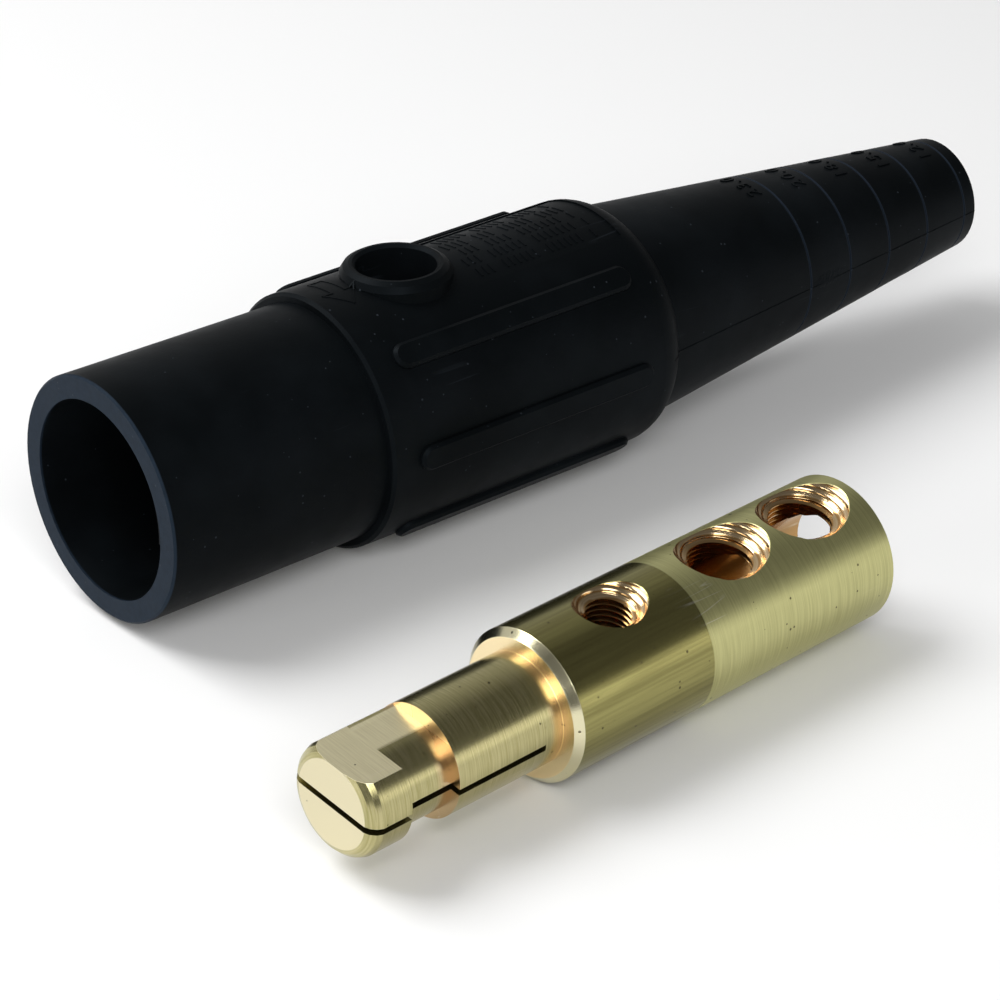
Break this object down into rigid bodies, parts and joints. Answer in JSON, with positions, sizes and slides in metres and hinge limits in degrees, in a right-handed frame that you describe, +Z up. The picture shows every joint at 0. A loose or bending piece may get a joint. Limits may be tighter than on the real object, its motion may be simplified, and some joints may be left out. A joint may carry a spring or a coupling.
{
  "type": "cam-lock plug",
  "caption": "Single-pole cam-lock power plug: a rubber insulating sleeve with a stepped cable tail, and its brass pin contact with a cam nose lying beside it",
  "frame": {"origin": "middle of the whole footprint, on the surface that both pieces lie on", "axes": "X along the sleeve from its mouth to its tail, Z up, the contact at the -Y side"},
  "size_m": [0.1942, 0.1067, 0.043],
  "materials": {
    "sleeve_rubber": "matte moulded",
    "contact_brass": "turned and drawn"
  },
  "bodies": {
    "root": {"sleeve": "sleeve_rubber", "contact": "contact_brass"}
  },
  "joints": []
}
